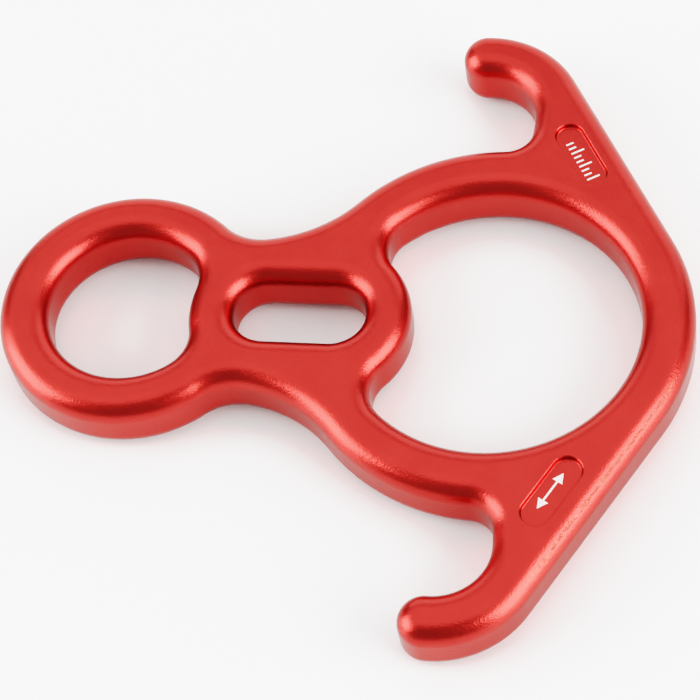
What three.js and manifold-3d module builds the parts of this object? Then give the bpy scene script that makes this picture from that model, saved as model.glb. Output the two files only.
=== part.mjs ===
// Rope descender: a rescue figure eight with two bent ears, forged in one piece
// from aluminium and anodised. A big eye takes the bight of rope, a small eye
// takes the connector, a slot lies between them, and the hooked ears stop the
// rope from slipping up into a girth hitch. A shallow marking pocket is sunk
// beside each ear.
//
// Millimetres, +Z up. The descender lies on its underside at z = 0, long axis
// along X with the small eye towards -X, ears towards +Y and -Y, and the origin
// under the middle of its bounding box. All outlines are drawn about the centre
// of the big eye, and the finished mesh is then placed by its position.

import * as THREE from 'three';
import { mergeVertices } from 'three/addons/utils/BufferGeometryUtils.js';
import Module from 'manifold-3d';

// Section
const THICKNESS = 14;
const EDGE_RADIUS = 4.4; // rounding along every edge that a rope can touch

// Big ring: its outside is two arcs whose centres lie a little apart, one round
// the crown at +X and one towards the neck
const BIG_EYE_RADIUS = 31.75;
const CROWN_ARC = { x: -1, radius: 43.9 };
const NECK_ARC = { x: 1, radius: 43.7 };

// Small ring
const EYE_SPACING = 78.4; // centre of the big eye to centre of the small eye
const SMALL_EYE_RADIUS = 17.75;
const SMALL_RING_RADIUS = 28.5;

// Web between the eyes: the slot, and the nose that pushes into each eye
const SLOT_HALF_WIDTH = 7.25;
const SLOT_NEAR_X = -34;
const SLOT_FAR_X = -48.1;
const BIG_NOSE = { x: -35.6, radius: 18.7, fillet: 8 };
const SMALL_NOSE = { x: -42.4, radius: 22.7, fillet: 8.9 };

// Neck: a long hollow off the big ring runs into a tight one at the small ring
const NECK_LONG_RADIUS = 30.6;
const NECK_LONG_ANGLE = 138.8; // degrees round the big ring, from +X
const NECK_TIGHT_RADIUS = 11.5;

// Ears: a hook of even width about one centre, with a round tip
const EAR_X = -6.4;
const EAR_Y = 52.9;
const EAR_INNER_RADIUS = 11.5;
const EAR_OUTER_RADIUS = 22.4;
const EAR_TIP_ANGLE = 91.5; // degrees round the ear's centre, from +X
const THROAT_FILLET_RADIUS = 6;
const THROAT_FILLET_ANGLE = 92.4; // degrees round the big ring, from +X

// Marking pockets, with their long axis along the outer edge of the shoulder
const POCKET_X = 16.2;
const POCKET_Y = 41.4;
const POCKET_HALF_SPAN = 5.6; // centre of the pocket to centre of its round end
const POCKET_RADIUS = 3.2;
const POCKET_DEPTH = 1.1;
const POCKET_SLOPE = 0.2; // how far its wall leans in on the way down

// Fineness of the faceted solid
const CHORD_ERROR = 0.05;
const EDGE_STEPS = 4;
const SHORTEST_EDGE = 0.01;

const FULL_TURN = 2 * Math.PI;

// A guide circle of an outline. The outline follows it anticlockwise where its
// radius is positive, and clockwise, round a hollow, where it is negative.
function guide(x, y, radius) {
  return { x, y, radius };
}

function mirrored({ x, y, radius }) {
  return guide(x, -y, radius);
}

// A guide circle whose centre is some distance and angle away from a point.
function guideAround(x, y, distance, degrees, radius) {
  const angle = THREE.MathUtils.degToRad(degrees);
  return guide(x + distance * Math.cos(angle), y + distance * Math.sin(angle), radius);
}

// A guide circle whose centre has a given distance from each of two points.
// It is the crossing to the right of the way from the first point to the second.
function guideMeeting(a, distanceA, b, distanceB, radius) {
  const span = Math.hypot(b.x - a.x, b.y - a.y);
  const along = (distanceA ** 2 - distanceB ** 2 + span ** 2) / (2 * span);
  const across = Math.sqrt(distanceA ** 2 - along ** 2);
  const [ux, uy] = [(b.x - a.x) / span, (b.y - a.y) / span];
  return guide(a.x + along * ux + across * uy, a.y + along * uy - across * ux, radius);
}

// Heading of the tangent that leaves one guide circle for the next.
function tangentHeading(from, to) {
  const [dx, dy] = [to.x - from.x, to.y - from.y];
  const sine = (to.radius - from.radius) / Math.hypot(dx, dy);
  return Math.atan2(dy, dx) - Math.asin(THREE.MathUtils.clamp(sine, -1, 1));
}

// The points of a closed outline: arcs of the guide circles, joined by their
// common tangents. A positive offset moves the whole outline to its right.
function outline(guides, offset = 0) {
  const points = [];
  guides.forEach((here, i) => {
    const start = tangentHeading(guides.at(i - 1), here);
    const end = tangentHeading(here, guides[(i + 1) % guides.length]);
    const direction = Math.sign(here.radius);
    const turn = direction * THREE.MathUtils.euclideanModulo(direction * (end - start), FULL_TURN);
    const stepAngle = 2 * Math.acos(1 - CHORD_ERROR / Math.abs(here.radius));
    const steps = Math.ceil(Math.abs(turn) / stepAngle);
    for (let k = 0; k <= steps; k += 1) {
      const heading = start + (turn * k) / steps;
      const reach = here.radius + offset;
      const x = here.x + reach * Math.sin(heading);
      const y = here.y - reach * Math.cos(heading);
      const point = new THREE.Vector2(x, y);
      const last = points.at(-1);
      if (!last || last.distanceTo(point) > SHORTEST_EDGE) points.push(point);
    }
  });
  if (points.at(-1).distanceTo(points[0]) < SHORTEST_EDGE) points.pop();
  return points;
}

const crownArc = guide(CROWN_ARC.x, 0, CROWN_ARC.radius);
const neckArc = guide(NECK_ARC.x, 0, NECK_ARC.radius);
const smallRing = guide(-EYE_SPACING, 0, SMALL_RING_RADIUS);

// The hooked ear at +Y: its back, its round tip and its throat.
function earGuides() {
  const middle = (EAR_INNER_RADIUS + EAR_OUTER_RADIUS) / 2;
  const tipRadius = (EAR_OUTER_RADIUS - EAR_INNER_RADIUS) / 2;
  return [
    guide(EAR_X, EAR_Y, EAR_OUTER_RADIUS),
    guideAround(EAR_X, EAR_Y, middle, EAR_TIP_ANGLE, tipRadius),
    guide(EAR_X, EAR_Y, -EAR_INNER_RADIUS),
  ];
}

// The two hollows of the neck at +Y, from the big ring to the small ring.
function neckGuides() {
  const reach = neckArc.radius + NECK_LONG_RADIUS;
  const long = guideAround(neckArc.x, 0, reach, NECK_LONG_ANGLE, -NECK_LONG_RADIUS);
  const tightReach = SMALL_RING_RADIUS + NECK_TIGHT_RADIUS;
  const step = NECK_LONG_RADIUS - NECK_TIGHT_RADIUS;
  return [long, guideMeeting(smallRing, tightReach, long, step, -NECK_TIGHT_RADIUS)];
}

// Outside of the whole body, anticlockwise from the crown of the big ring.
function bodyGuides() {
  const filletReach = neckArc.radius + THROAT_FILLET_RADIUS;
  const upperHalf = [
    ...earGuides(),
    guideAround(neckArc.x, 0, filletReach, THROAT_FILLET_ANGLE, -THROAT_FILLET_RADIUS),
    neckArc,
    ...neckGuides(),
  ];
  const lowerHalf = upperHalf.map(mirrored).reverse();
  return [crownArc, ...upperHalf, smallRing, ...lowerHalf];
}

// A round eye with a nose that pushes into it from the web.
function eyeGuides(centreX, radius, nose) {
  const centre = guide(centreX, 0, radius);
  const noseCentre = guide(nose.x, 0, -nose.radius);
  const reach = nose.radius + nose.fillet;
  const corner = guideMeeting(centre, radius - nose.fillet, noseCentre, reach, nose.fillet);
  return [centre, corner, noseCentre, mirrored(corner)];
}

const bigEyeGuides = eyeGuides(0, BIG_EYE_RADIUS, BIG_NOSE);
const smallEyeGuides = eyeGuides(-EYE_SPACING, SMALL_EYE_RADIUS, SMALL_NOSE);
const slotGuides = [guide(SLOT_NEAR_X, 0, SLOT_HALF_WIDTH), guide(SLOT_FAR_X, 0, SLOT_HALF_WIDTH)];

// The plate with its eyes and slot. The shape is the flat face, and the round
// edge then swells out from it, a quarter circle above and below the wall.
function plateGeometry() {
  const face = new THREE.Shape(outline(bodyGuides(), -EDGE_RADIUS));
  for (const guides of [bigEyeGuides, smallEyeGuides, slotGuides]) {
    face.holes.push(new THREE.Path(outline(guides, EDGE_RADIUS)));
  }
  const geometry = new THREE.ExtrudeGeometry(face, {
    depth: THICKNESS - 2 * EDGE_RADIUS,
    bevelThickness: EDGE_RADIUS,
    bevelSize: EDGE_RADIUS,
    bevelSegments: EDGE_STEPS,
  });
  return geometry.translate(0, 0, EDGE_RADIUS);
}

// What is cut away for the marking pocket at +Y (side 1) or -Y (side -1): its
// floor is the shape, and the bevel gives the leaning wall up to the face.
function pocketGeometry(side) {
  const floorRadius = POCKET_RADIUS - POCKET_SLOPE;
  const ends = [guide(POCKET_HALF_SPAN, 0, floorRadius), guide(-POCKET_HALF_SPAN, 0, floorRadius)];
  const geometry = new THREE.ExtrudeGeometry(new THREE.Shape(outline(ends)), {
    depth: POCKET_DEPTH,
    bevelThickness: POCKET_DEPTH,
    bevelSize: POCKET_SLOPE,
    bevelSegments: 1,
  });
  const shoulderHeading = tangentHeading(crownArc, earGuides()[0]);
  geometry.rotateZ(side * shoulderHeading);
  return geometry.translate(POCKET_X, side * POCKET_Y, THICKNESS);
}

const wasm = await Module();
wasm.setup();

// A closed solid for cutting, from a geometry whose corners are merged.
function solidOf(geometry) {
  geometry.deleteAttribute('normal');
  geometry.deleteAttribute('uv');
  const merged = mergeVertices(geometry);
  return new wasm.Manifold(new wasm.Mesh({
    numProp: 3,
    vertProperties: merged.attributes.position.array,
    triVerts: new Uint32Array(merged.index.array),
  }));
}

// The geometry of a solid that has been cut.
function geometryOf(solid) {
  const { vertProperties, triVerts } = solid.getMesh();
  const geometry = new THREE.BufferGeometry();
  geometry.setAttribute('position', new THREE.BufferAttribute(vertProperties, 3));
  geometry.setIndex(new THREE.BufferAttribute(triVerts, 1));
  geometry.computeVertexNormals();
  return geometry;
}

function descenderBody() {
  const cut = [1, -1].reduce(
    (solid, side) => solid.subtract(solidOf(pocketGeometry(side))),
    solidOf(plateGeometry()),
  );
  const redAnodised = new THREE.MeshStandardMaterial({ color: 0xc7302a, metalness: 0.85, roughness: 0.35 });
  const mesh = new THREE.Mesh(geometryOf(cut), redAnodised);
  mesh.name = 'descender_body';
  const crownX = crownArc.x + crownArc.radius;
  const tailX = smallRing.x - smallRing.radius;
  mesh.position.x = -(crownX + tailX) / 2;
  return mesh;
}

const descender = new THREE.Group();
descender.add(descenderBody());

export default descender;
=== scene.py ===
"""Looks of the rope descender: a one-piece rescue figure eight with two bent
ears, forged in aluminium, fine-blasted and anodised red.

Blender works in metres in the frame of the CAD part. The outlines below are
given in millimetres about the centre of the big eye, as on a drawing, and are
moved and scaled on their way into the mesh.
"""
import math

import bpy
import mathutils.geometry
from mathutils import Matrix, Vector


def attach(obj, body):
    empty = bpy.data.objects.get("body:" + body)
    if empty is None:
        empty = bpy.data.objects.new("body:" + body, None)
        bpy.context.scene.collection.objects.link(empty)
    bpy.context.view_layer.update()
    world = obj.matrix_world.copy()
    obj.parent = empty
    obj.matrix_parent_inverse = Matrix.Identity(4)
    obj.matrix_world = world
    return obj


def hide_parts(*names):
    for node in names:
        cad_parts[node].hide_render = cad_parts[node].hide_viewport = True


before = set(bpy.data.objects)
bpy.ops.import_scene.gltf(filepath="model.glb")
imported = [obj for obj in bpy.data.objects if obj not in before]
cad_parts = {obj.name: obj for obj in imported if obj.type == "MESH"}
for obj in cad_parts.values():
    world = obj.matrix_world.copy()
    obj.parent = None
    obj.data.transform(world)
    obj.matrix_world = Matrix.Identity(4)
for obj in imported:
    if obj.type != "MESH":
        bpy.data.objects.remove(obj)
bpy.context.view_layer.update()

MM = 0.001
QUARTER = math.pi / 2
FULL_TURN = 2 * math.pi

# Section of the plate
THICKNESS = 14.0
EDGE_RADIUS = 4.4

# Big ring: eye, and the two arcs of its outside, (centre x, radius)
BIG_EYE_RADIUS = 31.75
CROWN_ARC = (-1.0, 43.9)
NECK_ARC = (1.0, 43.7)

# Small ring
EYE_SPACING = 78.4
SMALL_EYE_RADIUS = 17.75
SMALL_RING_RADIUS = 28.5

# The part's frame has its origin under the middle of its length
BIG_EYE_X = (EYE_SPACING + SMALL_RING_RADIUS - sum(CROWN_ARC)) / 2

# Web: the slot, and the nose that pushes into each eye, (centre x, radius, corner fillet)
SLOT_HALF_WIDTH = 7.25
SLOT_ENDS = (-34.0, -48.1)
BIG_NOSE = (-35.6, 18.7, 8.0)
SMALL_NOSE = (-42.4, 22.7, 8.9)

# Neck: a long hollow off the big ring, then a tight one at the small ring
NECK_LONG_RADIUS = 30.6
NECK_LONG_ANGLE = math.radians(138.8)
NECK_TIGHT_RADIUS = 11.5

# Ears: a hook of even width about one centre, with a round tip
EAR_CENTRE = (-6.4, 52.9)
EAR_INNER_RADIUS = 11.5
EAR_OUTER_RADIUS = 22.4
EAR_TIP_ANGLE = math.radians(91.5)
THROAT_FILLET_RADIUS = 6.0
THROAT_FILLET_ANGLE = math.radians(92.4)

# Marking pockets
POCKET_CENTRE = (16.2, 41.4)
POCKET_HALF_SPAN = 5.6
POCKET_RADIUS = 3.2
POCKET_DEPTH = 1.1
POCKET_SLOPE = 0.2
POCKET_RIM_RADIUS = 0.4
POCKET_FOOT_RADIUS = 0.3

# Laser marks on the pocket floors: a row of ticks in one, a double-headed arrow in the other,
# both plain fillers. They lie along the pocket, shifted (towards the ear, towards the outer
# edge) from its middle
MARK_LINE = 0.42
MARK_PROUD = 0.01
MARK_SUNK = 0.03
TICK_SPACING = 1.3
TICK_LENGTHS = (3.0, 1.7, 1.7, 3.0, 1.7, 1.7, 3.0, 1.7, 1.7)
TICKS_SHIFT = (-0.9, 0.0)
ARROW_LENGTH = 9.6
ARROW_HEAD = (2.3, 2.4)
ARROW_SHIFT = (-0.3, -0.5)

# Rubbed line on the rounding: how far up its normal points, how wide and jagged the line is on
# that scale, and the x and y between which it sets in, in the part's frame
RUB_RISE = 0.74
RUB_WIDTH = 0.045
RUB_JAG = 0.07
RUB_JAG_SIZE = 1.2
RUB_X = (44, 50)
RUB_Y = (-12, -20)

# How far its normal must lean towards +X, and the range of a noise over which its gaps close
RUB_LEAN = (0.1, 0.3)
RUB_GAPS = (0.33, 0.52)
RUB_GAP_SIZE = 2.5
RUB_NOISE_ROUGHNESS = 0.7

# Anodised red: the dye where it is deep, pale and rubbed, and the tint of glancing reflections
DYE_DEEP = (0.48, 0.023, 0.017, 1)
DYE_PALE = (0.53, 0.029, 0.021, 1)
DYE_RUBBED = (0.6, 0.12, 0.07, 1)
DYE_PATCH_SIZE = 9
GLANCING_TINT = (0.56, 0.48, 0.45, 1)
METAL_ROUGHNESS = (0.28, 0.31)
SHEEN_PATCH_SIZE = 0.5
COAT_WEIGHT = 0.62
COAT_ROUGHNESS = 0.2
COAT_IOR = 1.5

# Its relief, in millimetres: slow waves, blasted grain, and scuffs that are dug in
WAVE_SIZE = 3
WAVE_DEPTH = 0.008
GRAIN_SIZE = 0.4
GRAIN_DEPTH = 0.058
GRAIN_NOISE_ROUGHNESS = 0.6
SCUFF_DEPTH = -0.09

# Laser white: dull and bright blotches, and fine pits
BURN_DULL = (0.62, 0.53, 0.51, 1)
BURN_BRIGHT = (0.88, 0.83, 0.81, 1)
BURN_ROUGHNESS = (0.5, 0.7)
BURN_BLOTCH_SIZE = 0.3
BURN_PIT_SIZE = 0.2
BURN_DEPTH = 0.02

# Camera: where it stands, in metres, where it looks, which way is right for it, and its lens
CAMERA_PLACE = (0.08855, -0.27008, 0.44383)
CAMERA_AHEAD = (-0.16665, 0.50972, -0.84405)
CAMERA_RIGHT = (0.98524, 0.12006, -0.12202)
CAMERA_LENS = 125.28
CAMERA_SENSOR = 36

# Floor: half its width and its gap below the part, in metres, and its finish
FLOOR_HALF_WIDTH = 2.0
FLOOR_GAP = 0.0001
FLOOR_WHITE = (0.9, 0.9, 0.9, 1)
FLOOR_ROUGHNESS = 0.35

# Soft light round the descender: azimuth from +X towards +Y, elevation, width and height
# in degrees as seen from it, and radiance. Their distance is in metres
SOFTBOXES = {
    "softbox_right": (-16, 22, 46, 50, 5.8),
    "softbox_right_core": (-16, 22, 28, 30, 1.8),
    "softbox_left": (-170, 24, 44, 44, 5.0),
    "softbox_left_core": (-170, 24, 28, 28, 1.2),
    "back_panel": (90, 15, 84, 46, 1.25),
    "ceiling": (90, 78, 100, 60, 1.0),
}
SOFTBOX_DISTANCE = 1.5
ROOM_RADIANCE = 0.35

# Before the film curve, black is lifted a little and all above the knee is stretched
TONE_LIFT = 0.004
TONE_KNEE = 0.8
TONE_SLOPE = 3.0
TONE_END = 5.0
ALL_CHANNELS = 3  # the combined curve, after red, green and blue

# Fineness of the mesh
ARC_STEP = math.radians(2.5)
EDGE_STEPS = 12
FILLET_STEPS = 4
SHORTEST_EDGE = 0.005


# ---------------------------------------------------------------- outlines

def guide(x, y, radius):
    """A circle that an outline follows: anticlockwise, or clockwise if its radius is negative."""
    return (x, y, radius)


def mirrored(circle):
    """The same circle on the other side of the long centre line."""
    x, y, radius = circle
    return guide(x, -y, radius)


def guide_around(x, y, distance, angle, radius):
    """A guide circle centred some distance and angle away from a point."""
    return guide(x + distance * math.cos(angle), y + distance * math.sin(angle), radius)


def guide_meeting(a, distance_a, b, distance_b, radius):
    """A guide circle centred at given distances from two points, right of the way from a to b."""
    span = math.dist(a[:2], b[:2])
    along = (distance_a ** 2 - distance_b ** 2 + span ** 2) / (2 * span)
    across = math.sqrt(distance_a ** 2 - along ** 2)
    ux, uy = (b[0] - a[0]) / span, (b[1] - a[1]) / span
    return guide(a[0] + along * ux + across * uy, a[1] + along * uy - across * ux, radius)


def tangent_heading(a, b):
    """Heading of the tangent that leaves guide circle a for guide circle b."""
    sine = (b[2] - a[2]) / math.dist(a[:2], b[:2])
    return math.atan2(b[1] - a[1], b[0] - a[0]) - math.asin(max(-1.0, min(1.0, sine)))


def outline(guides):
    """Points of a closed outline, each (x, y, normal x, normal y) with the normal to its right."""
    points = []
    for i, (x, y, radius) in enumerate(guides):
        start = tangent_heading(guides[i - 1], guides[i])
        end = tangent_heading(guides[i], guides[(i + 1) % len(guides)])
        direction = math.copysign(1, radius)
        turn = direction * ((direction * (end - start)) % FULL_TURN)
        steps = max(1, math.ceil(abs(turn) / ARC_STEP))
        for k in range(steps + 1):
            heading = start + turn * k / steps
            nx, ny = math.sin(heading), -math.cos(heading)
            point = (x + radius * nx, y + radius * ny, nx, ny)
            if not points or math.dist(points[-1][:2], point[:2]) > SHORTEST_EDGE:
                points.append(point)
    if math.dist(points[-1][:2], points[0][:2]) < SHORTEST_EDGE:
        points.pop()
    return points


def around_hole(points):
    """The outline of a hole turned about, so that the normals point out of the material."""
    return [(x, y, -nx, -ny) for x, y, nx, ny in reversed(points)]


def ear_guides():
    middle = (EAR_INNER_RADIUS + EAR_OUTER_RADIUS) / 2
    tip_radius = (EAR_OUTER_RADIUS - EAR_INNER_RADIUS) / 2
    return [
        guide(*EAR_CENTRE, EAR_OUTER_RADIUS),
        guide_around(*EAR_CENTRE, middle, EAR_TIP_ANGLE, tip_radius),
        guide(*EAR_CENTRE, -EAR_INNER_RADIUS),
    ]


def neck_guides():
    ring_x, ring_radius = NECK_ARC
    reach = ring_radius + NECK_LONG_RADIUS
    long = guide_around(ring_x, 0, reach, NECK_LONG_ANGLE, -NECK_LONG_RADIUS)
    tight_reach = SMALL_RING_RADIUS + NECK_TIGHT_RADIUS
    step = NECK_LONG_RADIUS - NECK_TIGHT_RADIUS
    return [long, guide_meeting((-EYE_SPACING, 0), tight_reach, long, step, -NECK_TIGHT_RADIUS)]


def body_outline():
    """Outside of the body, anticlockwise from the crown of the big ring."""
    ring_x, ring_radius = NECK_ARC
    fillet_reach = ring_radius + THROAT_FILLET_RADIUS
    fillet = guide_around(ring_x, 0, fillet_reach, THROAT_FILLET_ANGLE, -THROAT_FILLET_RADIUS)
    upper = [*ear_guides(), fillet, guide(ring_x, 0, ring_radius), *neck_guides()]
    lower = [mirrored(circle) for circle in reversed(upper)]
    crown = guide(CROWN_ARC[0], 0, CROWN_ARC[1])
    return outline([crown, *upper, guide(-EYE_SPACING, 0, SMALL_RING_RADIUS), *lower])


def eye_outline(centre_x, radius, nose):
    """A round eye with a nose that pushes into it from the web."""
    nose_x, nose_radius, fillet = nose
    centre, nose_centre = guide(centre_x, 0, radius), guide(nose_x, 0, -nose_radius)
    corner = guide_meeting(centre, radius - fillet, nose_centre, nose_radius + fillet, fillet)
    return around_hole(outline([centre, corner, nose_centre, mirrored(corner)]))


def slot_outline():
    return around_hole(outline([guide(x, 0, SLOT_HALF_WIDTH) for x in SLOT_ENDS]))


def shoulder_heading():
    """Heading of the straight outer edge that runs from the crown up to the ear at +Y."""
    return tangent_heading(guide(CROWN_ARC[0], 0, CROWN_ARC[1]), ear_guides()[0])


def pocket_outline(side):
    """Rim of the marking pocket at +Y (side 1) or -Y (side -1)."""
    heading = side * shoulder_heading()
    x, y = POCKET_CENTRE[0], side * POCKET_CENTRE[1]
    ends = [guide_around(x, y, s * POCKET_HALF_SPAN, heading, POCKET_RADIUS) for s in (1, -1)]
    return around_hole(outline(ends))


# ---------------------------------------------------------------- body mesh

class Skin:
    """A mesh in the making, with the true normal of the surface at every vertex."""

    def __init__(self):
        self.points, self.normals, self.faces = [], [], []

    def ring(self, points, offset, z, tilt):
        """Vertices round an outline moved offset along its normals; the surface's normal there
        rises from the outline's by tilt."""
        first = len(self.points)
        flat, rise = math.cos(tilt), math.sin(tilt)
        for x, y, nx, ny in points:
            place = Vector((x + offset * nx + BIG_EYE_X, y + offset * ny, z))
            self.points.append(place * MM)
            self.normals.append(Vector((nx * flat, ny * flat, rise)))
        return list(range(first, len(self.points)))

    def band(self, upper, lower):
        """Four-sided faces between two rings of one outline, the upper ring first."""
        for i in range(len(upper)):
            j = (i + 1) % len(upper)
            self.faces.append((upper[i], lower[i], lower[j], upper[j]))

    def fill(self, rings, up):
        """Flat face inside the first ring and outside the others, which are holes in it."""
        ids = [i for ring in rings for i in ring]
        loops = [[Vector(self.points[i][:2]) / MM for i in ring] for ring in rings]
        places = [place for loop in loops for place in loop]
        for a, b, c in mathutils.geometry.tessellate_polygon(loops):
            anticlockwise = (places[b] - places[a]).cross(places[c] - places[a]) > 0
            corners = (ids[a], ids[b], ids[c])
            self.faces.append(corners if anticlockwise == up else corners[::-1])

    def object(self, name):
        mesh = bpy.data.meshes.new(name)
        mesh.from_pydata(self.points, [], self.faces)
        mesh.shade_smooth()
        mesh.normals_split_custom_set_from_vertices(self.normals)
        made = bpy.data.objects.new(name, mesh)
        bpy.context.scene.collection.objects.link(made)
        return made


def round_wall(skin, points):
    """The plate's edge: a quarter circle, the wall, and a quarter circle. Gives its two rims."""
    stations = []
    for k in range(EDGE_STEPS + 1):
        tilt = QUARTER * (1 - k / EDGE_STEPS)
        swell = EDGE_RADIUS * math.cos(tilt) - EDGE_RADIUS
        stations.append((swell, THICKNESS - EDGE_RADIUS * (1 - math.sin(tilt)), tilt))
    stations += [(swell, THICKNESS - z, -tilt) for swell, z, tilt in reversed(stations)]
    rings = [skin.ring(points, *station) for station in stations]
    for upper, lower in zip(rings, rings[1:]):
        skin.band(upper, lower)
    return rings[0], rings[-1]


def pocket(skin, points):
    """A sunk pocket with a rounded rim, a leaning wall and a filleted foot. Gives its rim."""
    lean = math.atan2(POCKET_DEPTH, POCKET_SLOPE)
    rim_reach = POCKET_RIM_RADIUS * math.tan(lean / 2)
    foot_reach = POCKET_FOOT_RADIUS * math.tan(lean / 2)
    floor = THICKNESS - POCKET_DEPTH
    rings = []
    for k in range(FILLET_STEPS + 1):
        tilt = QUARTER - lean * k / FILLET_STEPS
        out, up = POCKET_RIM_RADIUS * math.cos(tilt), POCKET_RIM_RADIUS * math.sin(tilt)
        rings.append(skin.ring(points, out - rim_reach, THICKNESS - POCKET_RIM_RADIUS + up, tilt))
    for k in range(FILLET_STEPS + 1):
        tilt = QUARTER - lean * (1 - k / FILLET_STEPS)
        out, up = POCKET_FOOT_RADIUS * math.cos(tilt), POCKET_FOOT_RADIUS * math.sin(tilt)
        offset = POCKET_SLOPE + foot_reach - out
        rings.append(skin.ring(points, offset, floor + POCKET_FOOT_RADIUS - up, tilt))
    for upper, lower in zip(rings, rings[1:]):
        skin.band(upper, lower)
    skin.fill([list(reversed(rings[-1]))], up=True)
    return rings[0]


def forging():
    """The whole body as one closed skin."""
    skin = Skin()
    loops = [
        body_outline(),
        eye_outline(0, BIG_EYE_RADIUS, BIG_NOSE),
        eye_outline(-EYE_SPACING, SMALL_EYE_RADIUS, SMALL_NOSE),
        slot_outline(),
    ]
    tops, bottoms = zip(*[round_wall(skin, loop) for loop in loops])
    rims = [pocket(skin, pocket_outline(side)) for side in (1, -1)]
    skin.fill([*tops, *rims], up=True)
    skin.fill([*bottoms], up=False)
    return skin.object("forged_body")


# ---------------------------------------------------------------- laser marks

def tick_shapes():
    """Bars across the pocket, in a row with their feet on one line."""
    half_row = TICK_SPACING * (len(TICK_LENGTHS) - 1) / 2
    shapes = []
    for i, length in enumerate(TICK_LENGTHS):
        left = i * TICK_SPACING - half_row - MARK_LINE / 2
        right, foot = left + MARK_LINE, -max(TICK_LENGTHS) / 2
        shapes.append([(left, foot), (right, foot), (right, foot + length), (left, foot + length)])
    return shapes


def arrow_shape():
    """A double-headed arrow along the pocket."""
    end, half_line = ARROW_LENGTH / 2, MARK_LINE / 2
    neck, half_head = end - ARROW_HEAD[0], ARROW_HEAD[1] / 2
    right = [(neck, -half_line), (neck, -half_head), (end, 0), (neck, half_head), (neck, half_line)]
    return right + [(-u, -v) for u, v in right]


def etching(name, side, shift, shapes):
    """Thin plates on the floor of the pocket at +Y (side 1) or -Y (side -1)."""
    heading = shoulder_heading()
    ux, uy = math.cos(heading), math.sin(heading)
    floor = THICKNESS - POCKET_DEPTH
    skin = Skin()
    for shape in shapes:
        points = []
        for u, v in shape:
            along, out = u + shift[0], v + shift[1]
            x = POCKET_CENTRE[0] + along * ux + out * uy
            y = POCKET_CENTRE[1] + along * uy - out * ux
            points.append((x, side * y, 0, 0))
        if side > 0:
            points.reverse()
        top = skin.ring(points, 0, floor + MARK_PROUD, QUARTER)
        foot = skin.ring(points, 0, floor - MARK_SUNK, QUARTER)
        skin.band(top, foot)
        skin.fill([top], up=True)
        skin.fill([foot], up=False)
    return skin.object(name)


# ---------------------------------------------------------------- materials

def new_material(name):
    """A node material, with its tree and its shader."""
    material = bpy.data.materials.new(name)
    material.use_nodes = True
    return material, material.node_tree, material.node_tree.nodes["Principled BSDF"]


def noise(tree, size, detail, roughness=0.5):
    """Noise over the part's own coordinates, with features about size millimetres across."""
    place = tree.nodes.new("ShaderNodeTexCoord")
    node = tree.nodes.new("ShaderNodeTexNoise")
    node.inputs["Scale"].default_value = 1 / (size * MM)
    node.inputs["Detail"].default_value = detail
    node.inputs["Roughness"].default_value = roughness
    tree.links.new(place.outputs["Object"], node.inputs["Vector"])
    return node.outputs["Fac"]


def remap(tree, value, low, high, start=0.3, end=0.7):
    """Spreads start to end, by default the middle of a noise, over low to high."""
    node = tree.nodes.new("ShaderNodeMapRange")
    node.inputs["From Min"].default_value = start
    node.inputs["From Max"].default_value = end
    node.inputs["To Min"].default_value = low
    node.inputs["To Max"].default_value = high
    tree.links.new(value, node.inputs["Value"])
    return node.outputs["Result"]


def bump(tree, height, depth, below=None):
    """A bump of so many millimetres, laid over another one."""
    node = tree.nodes.new("ShaderNodeBump")
    node.inputs["Strength"].default_value = 1
    node.inputs["Distance"].default_value = depth * MM
    tree.links.new(height, node.inputs["Height"])
    if below:
        tree.links.new(below, node.inputs["Normal"])
    return node.outputs["Normal"]


def combine(tree, operation, a, b):
    """One number worked out from two others."""
    node = tree.nodes.new("ShaderNodeMath")
    node.operation = operation
    tree.links.new(a, node.inputs[0])
    tree.links.new(b, node.inputs[1])
    return node.outputs["Value"]


def mix(tree, factor, a, b):
    """A colour from a to b. The first may be another node's."""
    node = tree.nodes.new("ShaderNodeMix")
    node.data_type = "RGBA"
    if isinstance(a, tuple):
        node.inputs["A"].default_value = a
    else:
        tree.links.new(a, node.inputs["A"])
    node.inputs["B"].default_value = b
    tree.links.new(factor, node.inputs["Factor"])
    return node.outputs["Result"]


def rubbed_edge(tree):
    """Where the oxide is rubbed: a jagged, broken line along the rounding of the outer edge,
    from the crown to the ear at -Y."""
    place = tree.nodes.new("ShaderNodeTexCoord")
    normal = tree.nodes.new("ShaderNodeSeparateXYZ")
    point = tree.nodes.new("ShaderNodeSeparateXYZ")
    tree.links.new(place.outputs["Normal"], normal.inputs["Vector"])
    tree.links.new(place.outputs["Object"], point.inputs["Vector"])
    jag = remap(tree, noise(tree, RUB_JAG_SIZE, 4, RUB_NOISE_ROUGHNESS), -RUB_JAG, RUB_JAG)
    rise = combine(tree, "ADD", normal.outputs["Z"], jag)
    above = remap(tree, rise, 0, 1, RUB_RISE - RUB_WIDTH, RUB_RISE)
    below = remap(tree, rise, 1, 0, RUB_RISE, RUB_RISE + RUB_WIDTH)
    line = combine(tree, "MINIMUM", above, below)
    outward = remap(tree, normal.outputs["X"], 0, 1, *RUB_LEAN)
    shoulder = remap(tree, point.outputs["X"], 0, 1, RUB_X[0] * MM, RUB_X[1] * MM)
    lower_side = remap(tree, point.outputs["Y"], 0, 1, RUB_Y[0] * MM, RUB_Y[1] * MM)
    broken = remap(tree, noise(tree, RUB_GAP_SIZE, 3, RUB_NOISE_ROUGHNESS), 0, 1, *RUB_GAPS)
    mask = line
    for part in (outward, shoulder, lower_side, broken):
        mask = combine(tree, "MULTIPLY", mask, part)
    return mask


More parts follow.
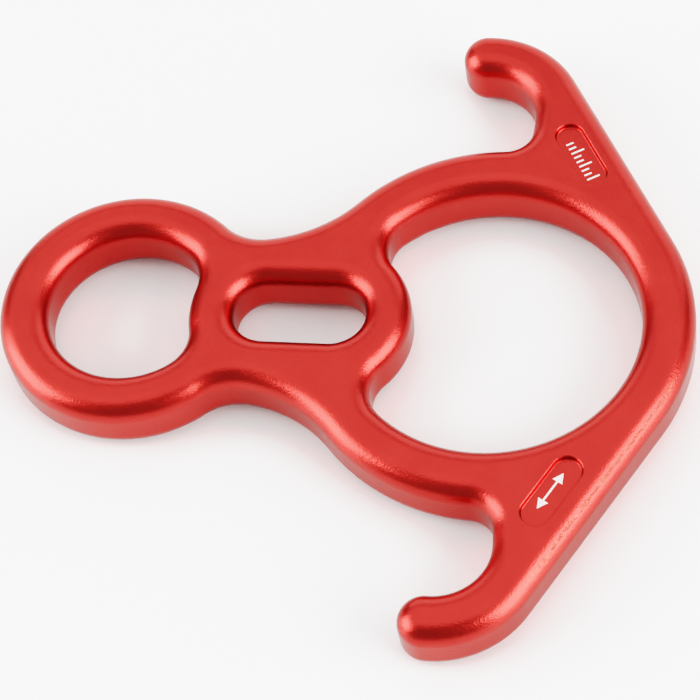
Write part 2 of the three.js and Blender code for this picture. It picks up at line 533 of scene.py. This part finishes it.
def anodised_red():
    """Fine-blasted aluminium under a clear, red-dyed oxide."""
    material, tree, shader = new_material("anodised_red")
    shader.inputs["Metallic"].default_value = 1
    shader.inputs["Specular Tint"].default_value = GLANCING_TINT
    shader.inputs["Coat Weight"].default_value = COAT_WEIGHT
    shader.inputs["Coat Roughness"].default_value = COAT_ROUGHNESS
    shader.inputs["Coat IOR"].default_value = COAT_IOR
    rubbed = rubbed_edge(tree)
    patches = remap(tree, noise(tree, DYE_PATCH_SIZE, 3), 0, 1)
    colour = mix(tree, rubbed, mix(tree, patches, DYE_DEEP, DYE_PALE), DYE_RUBBED)
    tree.links.new(colour, shader.inputs["Base Color"])
    sheen = remap(tree, noise(tree, SHEEN_PATCH_SIZE, 2), *METAL_ROUGHNESS)
    tree.links.new(sheen, shader.inputs["Roughness"])
    waves = bump(tree, noise(tree, WAVE_SIZE, 1), WAVE_DEPTH)
    grain = bump(tree, noise(tree, GRAIN_SIZE, 2, GRAIN_NOISE_ROUGHNESS), GRAIN_DEPTH, waves)
    scuffs = bump(tree, rubbed, SCUFF_DEPTH, grain)
    tree.links.new(scuffs, shader.inputs["Normal"])
    tree.links.new(scuffs, shader.inputs["Coat Normal"])
    return material


def etched_white():
    """Oxide burnt pale and dull by a laser, a little blotchy."""
    material, tree, shader = new_material("etched_white")
    blotches = remap(tree, noise(tree, BURN_BLOTCH_SIZE, 2), 0, 1)
    tree.links.new(mix(tree, blotches, BURN_DULL, BURN_BRIGHT), shader.inputs["Base Color"])
    sheen = remap(tree, noise(tree, SHEEN_PATCH_SIZE, 2), *BURN_ROUGHNESS)
    tree.links.new(sheen, shader.inputs["Roughness"])
    tree.links.new(bump(tree, noise(tree, BURN_PIT_SIZE, 2), BURN_DEPTH), shader.inputs["Normal"])
    return material


# ---------------------------------------------------------------- studio

def floor():
    """A satin white table under the descender, a hair below it."""
    mesh = bpy.data.meshes.new("floor")
    half = FLOOR_HALF_WIDTH
    corners = [(-half, -half, 0), (half, -half, 0), (half, half, 0), (-half, half, 0)]
    mesh.from_pydata(corners, [], [(0, 1, 2, 3)])
    made = bpy.data.objects.new("floor", mesh)
    made.location.z = -FLOOR_GAP
    bpy.context.scene.collection.objects.link(made)
    material, _, shader = new_material("satin_white")
    shader.inputs["Base Color"].default_value = FLOOR_WHITE
    shader.inputs["Roughness"].default_value = FLOOR_ROUGHNESS
    mesh.materials.append(material)


def camera():
    """Looks down on the descender from beyond its lower ear, a little turned about the view."""
    back = -Vector(CAMERA_AHEAD).normalized()
    right = Vector(CAMERA_RIGHT).normalized()
    up = back.cross(right)
    data = bpy.data.cameras.new("camera")
    data.lens = CAMERA_LENS
    data.sensor_width = CAMERA_SENSOR
    made = bpy.data.objects.new("camera", data)
    bpy.context.scene.collection.objects.link(made)
    turn = Matrix((right, up, back)).transposed()
    made.matrix_world = Matrix.Translation(Vector(CAMERA_PLACE)) @ turn.to_4x4()
    bpy.context.scene.camera = made


def softboxes():
    """Flat lights facing the descender, all at one distance."""
    for name, (azimuth, elevation, width, height, radiance) in SOFTBOXES.items():
        data = bpy.data.lights.new(name, "AREA")
        data.shape = "RECTANGLE"
        data.size = 2 * SOFTBOX_DISTANCE * math.tan(math.radians(width) / 2)
        data.size_y = 2 * SOFTBOX_DISTANCE * math.tan(math.radians(height) / 2)
        data.energy = radiance * math.pi * data.size * data.size_y
        made = bpy.data.objects.new(name, data)
        across, up = math.radians(azimuth), math.radians(elevation)
        away = Vector((math.cos(across) * math.cos(up), math.sin(across) * math.cos(up), math.sin(up)))
        made.location = away * SOFTBOX_DISTANCE
        made.rotation_mode = "QUATERNION"
        made.rotation_quaternion = away.to_track_quat("Z", "Y")
        bpy.context.scene.collection.objects.link(made)


def room():
    """The dim room behind the softboxes."""
    made = bpy.data.worlds.new("room")
    made.use_nodes = True
    background = made.node_tree.nodes["Background"]
    background.inputs["Color"].default_value = (1, 1, 1, 1)
    background.inputs["Strength"].default_value = ROOM_RADIANCE
    bpy.context.scene.world = made


def tone():
    """Contrast of a bright product shot, in which light greys run up to white early."""
    settings = bpy.context.scene.view_settings
    settings.view_transform = "Filmic"
    settings.look = "Very High Contrast"
    settings.use_curve_mapping = True
    mapping = settings.curve_mapping
    mapping.use_clip = False
    mapping.extend = "EXTRAPOLATED"
    all_channels = mapping.curves[ALL_CHANNELS]
    all_channels.points[0].location = (0, TONE_LIFT)
    all_channels.points[-1].location = (TONE_END, TONE_KNEE + TONE_SLOPE * (TONE_END - TONE_KNEE))
    all_channels.points.new(TONE_KNEE, TONE_KNEE)
    for point in all_channels.points:
        point.handle_type = "VECTOR"
    mapping.update()


camera()
room()
softboxes()
floor()
tone()
body = forging()
body.data.materials.append(anodised_red())
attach(body, "root")
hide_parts("descender_body")

laser_white = etched_white()
ticks = etching("etched_ticks", 1, TICKS_SHIFT, tick_shapes())
arrow = etching("etched_arrow", -1, ARROW_SHIFT, [arrow_shape()])
for mark in (ticks, arrow):
    mark.data.materials.append(laser_white)
    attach(mark, "root")
